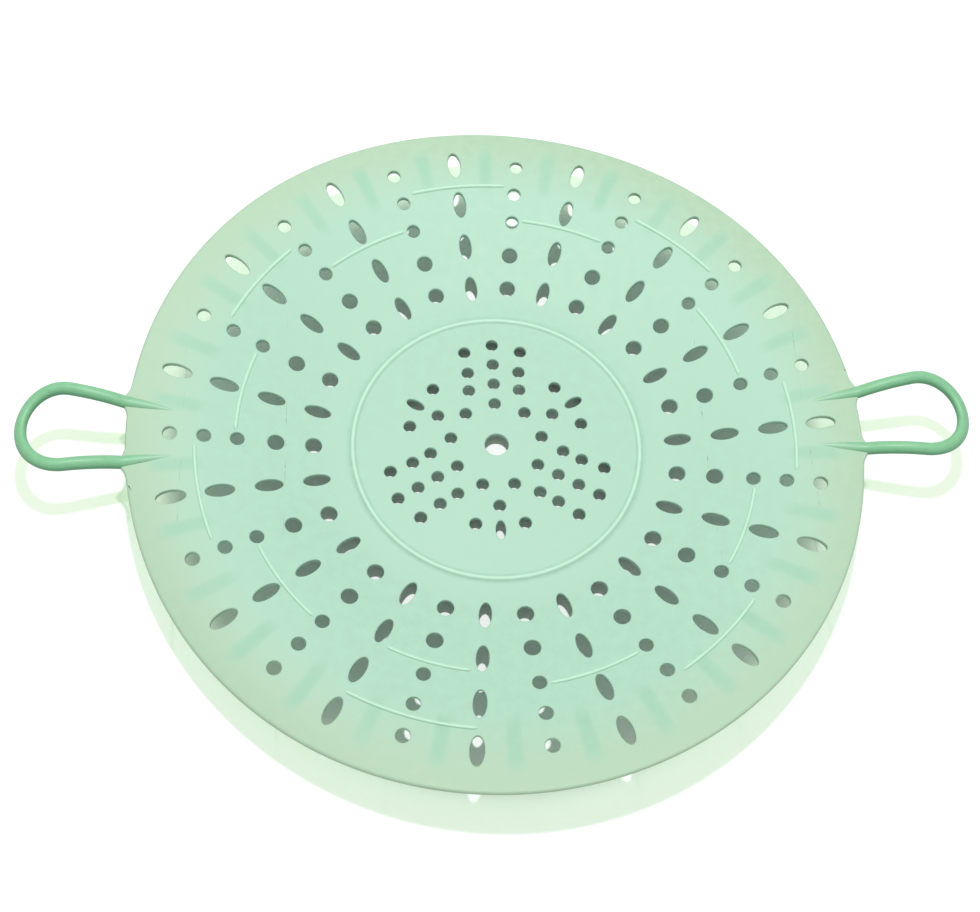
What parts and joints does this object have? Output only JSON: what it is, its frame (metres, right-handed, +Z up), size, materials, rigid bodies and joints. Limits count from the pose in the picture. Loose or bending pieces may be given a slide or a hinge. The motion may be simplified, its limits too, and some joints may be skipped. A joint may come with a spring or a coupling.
{
  "type": "swing-dry salad strainer",
  "caption": "Shallow round perforated dish of soft silicone with a loop handle at each side; it folds into a pouch and is swung to spin washed leaves dry.",
  "frame": {"origin": "centre of the foot ring's lower face, on the surface that the dish stands on", "axes": "+X through the right loop handle, +Z up out of the dish"},
  "size_m": [0.3264, 0.251, 0.0255],
  "materials": {
    "dish_silicone": "matte",
    "loop_silicone": "matte"
  },
  "bodies": {
    "dish_floor": {"floor_panel": "dish_silicone", "foot_ring": "dish_silicone", "ring_bead": "dish_silicone", "front_wall": "dish_silicone", "back_wall": "dish_silicone", "front_wall_beads": "dish_silicone", "back_wall_beads": "dish_silicone", "front_wall_flutes": "dish_silicone", "back_wall_flutes": "dish_silicone"},
    "left_inner_wing": {"left_inner_wing": "dish_silicone", "left_inner_beads": "dish_silicone", "left_inner_flutes": "dish_silicone"},
    "left_outer_wing": {"left_outer_wing": "dish_silicone", "left_outer_beads": "dish_silicone", "left_outer_flutes": "dish_silicone", "left_handle_ribs": "loop_silicone"},
    "left_loop": {"left_loop": "loop_silicone"},
    "right_inner_wing": {"right_inner_wing": "dish_silicone", "right_inner_beads": "dish_silicone", "right_inner_flutes": "dish_silicone"},
    "right_outer_wing": {"right_outer_wing": "dish_silicone", "right_outer_beads": "dish_silicone", "right_outer_flutes": "dish_silicone", "right_handle_ribs": "loop_silicone"},
    "right_loop": {"right_loop": "loop_silicone"}
  },
  "joints": [
    {"name": "left_inner_fold", "type": "hinge", "parent": "dish_floor", "child": "left_inner_wing", "pos_m": [-0.056, 0, 0.015], "axis": [0, 1, 0], "range_deg": [0, 65], "stiffness_Nm_per_rad": 0.12},
    {"name": "left_outer_fold", "type": "hinge", "parent": "left_inner_wing", "child": "left_outer_wing", "pos_m": [-0.09, 0, 0.015], "axis": [0, 1, 0], "range_deg": [0, 65], "stiffness_Nm_per_rad": 0.06},
    {"name": "left_loop_flex", "type": "hinge", "parent": "left_outer_wing", "child": "left_loop", "pos_m": [-0.128, 0, 0.02255], "axis": [0, 1, 0], "range_deg": [-30, 60], "stiffness_Nm_per_rad": 0.015},
    {"name": "right_inner_fold", "type": "hinge", "parent": "dish_floor", "child": "right_inner_wing", "pos_m": [0.056, 0, 0.015], "axis": [0, -1, 0], "range_deg": [0, 65], "stiffness_Nm_per_rad": 0.12},
    {"name": "right_outer_fold", "type": "hinge", "parent": "right_inner_wing", "child": "right_outer_wing", "pos_m": [0.09, 0, 0.015], "axis": [0, -1, 0], "range_deg": [0, 65], "stiffness_Nm_per_rad": 0.06},
    {"name": "right_loop_flex", "type": "hinge", "parent": "right_outer_wing", "child": "right_loop", "pos_m": [0.128, 0, 0.02255], "axis": [0, -1, 0], "range_deg": [-30, 60], "stiffness_Nm_per_rad": 0.015}
  ],
  "couplings": [
    {"joint": "left_outer_fold", "follows": "left_inner_fold", "ratio": 1},
    {"joint": "right_outer_fold", "follows": "right_inner_fold", "ratio": 1}
  ]
}
